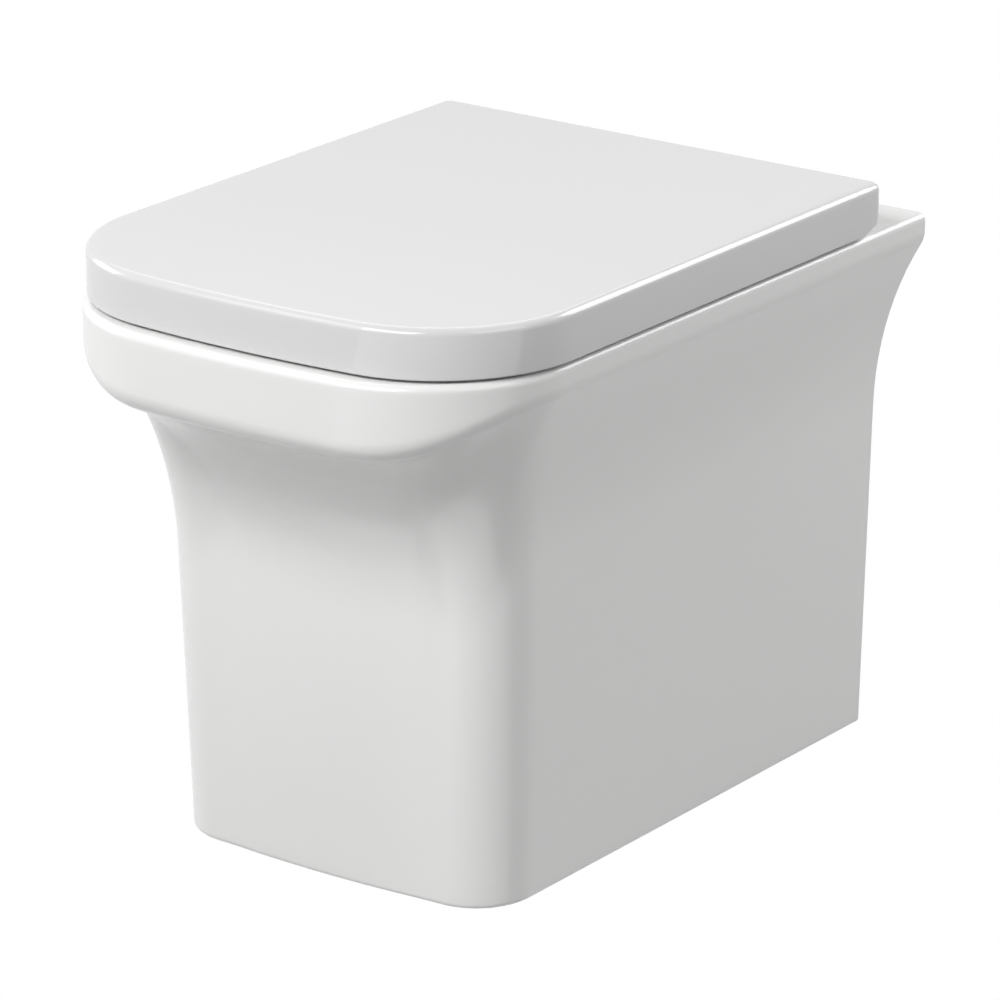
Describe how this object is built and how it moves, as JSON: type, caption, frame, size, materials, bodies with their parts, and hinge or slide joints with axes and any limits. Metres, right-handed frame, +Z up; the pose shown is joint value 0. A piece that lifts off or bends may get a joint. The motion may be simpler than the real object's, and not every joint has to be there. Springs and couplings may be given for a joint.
{
  "type": "wall hung toilet",
  "caption": "Wall hung toilet pan with a full skirt, flared rim and deep rounded nose, and a wrap-over soft-close lid over a hinged seat ring.",
  "frame": {"origin": "midway between the two wall studs, on the wall plane", "axes": "+X to the right seen from the front, +Y into the wall, +Z up"},
  "size_m": [0.364, 0.532, 0.4165],
  "materials": {
    "glaze": "gloss",
    "seat_shell": "gloss",
    "soft_buffer": "satin",
    "dark_rubber": "matte",
    "white_plastic": "satin",
    "grey_plastic": "satin",
    "hinge_metal": "polished",
    "steel": "brushed"
  },
  "bodies": {
    "pan": {"pan": "glaze", "pan_bowl": "glaze", "pan_rim": "glaze", "pan_inlet": "glaze", "inlet_seal": "dark_rubber", "fixing_sleeves": "white_plastic", "fixing_washers": "steel", "fixing_nuts": "steel", "hinge_gaskets": "dark_rubber", "hinge_base_plates": "steel", "hinge_bolts": "steel", "hinge_plugs": "dark_rubber", "hinge_plug_nuts": "steel", "hinge_post_left": "hinge_metal", "hinge_post_right": "hinge_metal", "damper_body_left": "grey_plastic", "damper_body_right": "grey_plastic", "pivot_pin_left": "steel", "pivot_pin_right": "steel"},
    "seat": {"seat_ring": "seat_shell", "seat_buffers": "soft_buffer", "damper_rotor_seat": "grey_plastic"},
    "lid": {"seat_lid": "seat_shell", "lid_buffers": "soft_buffer", "damper_rotor_lid": "grey_plastic"}
  },
  "joints": [
    {"name": "seat_hinge", "type": "hinge", "parent": "pan", "child": "seat", "pos_m": [0, -0.045, 0.103], "axis": [-1, 0, 0], "range_deg": [0, 92]},
    {"name": "lid_hinge", "type": "hinge", "parent": "seat", "child": "lid", "pos_m": [0, -0.045, 0.103], "axis": [-1, 0, 0], "range_deg": [0, 93]}
  ]
}
